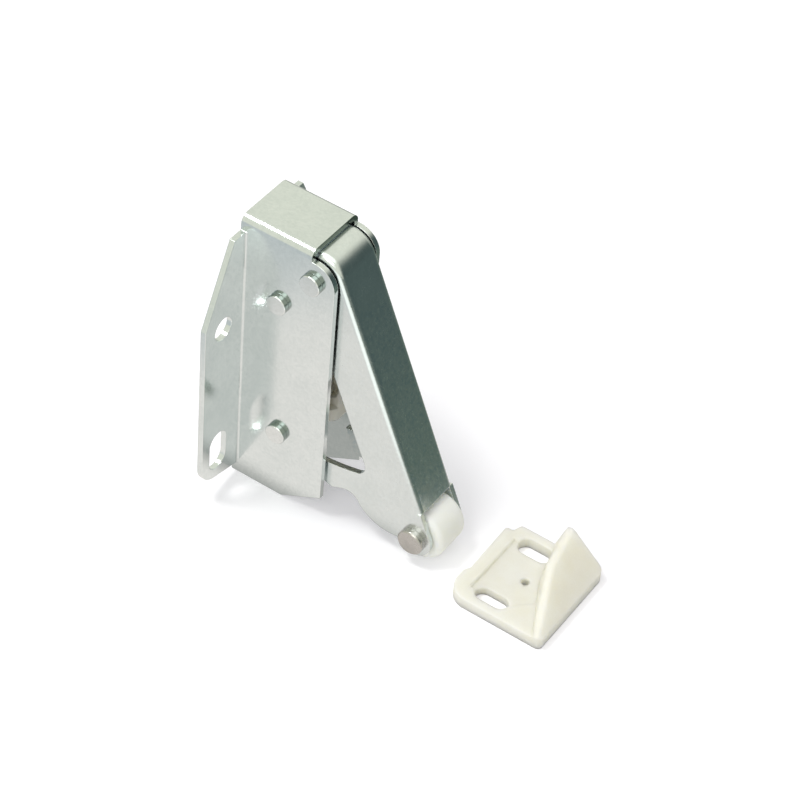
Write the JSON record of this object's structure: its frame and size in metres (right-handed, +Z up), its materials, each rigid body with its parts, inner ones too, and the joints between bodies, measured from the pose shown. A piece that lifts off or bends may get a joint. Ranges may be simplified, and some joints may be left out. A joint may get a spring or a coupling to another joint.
{
  "type": "touch latch",
  "caption": "Touch latch: folded steel housing with screw flanges, a sprung arm carrying a roller, and a separate nylon strike with a slanting ramp.",
  "frame": {"origin": "on the mounting face, midway between the two round screw holes", "axes": "+X out of the mounting face towards the arm and the strike, +Y across the latch, +Z up towards the bridge"},
  "size_m": [0.0573, 0.029, 0.051],
  "materials": {
    "plate_zinc": "bright zinc plate on folded steel sheet",
    "arm_zinc": "bright zinc plate on pressed steel sheet",
    "rivet_zinc": "zinc-plated, pressed head",
    "pin_nickel": "nickel-plated, satin",
    "spring_steel": "drawn spring wire",
    "follower_steel": "drawn wire",
    "roller_nylon": "natural nylon, satin",
    "block_nylon": "natural nylon, matt",
    "strike_nylon": "natural nylon, satin"
  },
  "bodies": {
    "latch": {"housing": "plate_zinc", "pivot_rivet": "rivet_zinc", "upper_rivet": "rivet_zinc", "lower_rivet": "rivet_zinc", "cam_block": "block_nylon", "torsion_spring": "spring_steel", "strike": "strike_nylon"},
    "swing_arm": {"arm": "arm_zinc", "roller_pin": "pin_nickel", "follower_pin": "pin_nickel"},
    "roller_wheel": {"roller": "roller_nylon"},
    "follower_wire": {"follower": "follower_steel"}
  },
  "joints": [
    {"name": "arm_hinge", "type": "hinge", "parent": "latch", "child": "swing_arm", "pos_m": [0.01265, 0, 0.0123], "axis": [0, 1, 0], "range_deg": [0, 22], "stiffness_Nm_per_rad": 0.067, "springref_deg": -68.75, "deforming": ["torsion_spring"]},
    {"name": "roller_spin", "type": "hinge", "parent": "swing_arm", "child": "roller_wheel", "pos_m": [0.03248, 0, -0.0286], "axis": [0, 1, 0], "continuous": true},
    {"name": "follower_hinge", "type": "hinge", "parent": "swing_arm", "child": "follower_wire", "pos_m": [0.01516, 0, 0.00521], "axis": [0, 1, 0], "range_deg": [-22, 0]}
  ],
  "couplings": [
    {"joint": "follower_hinge", "follows": "arm_hinge", "ratio": -1}
  ]
}
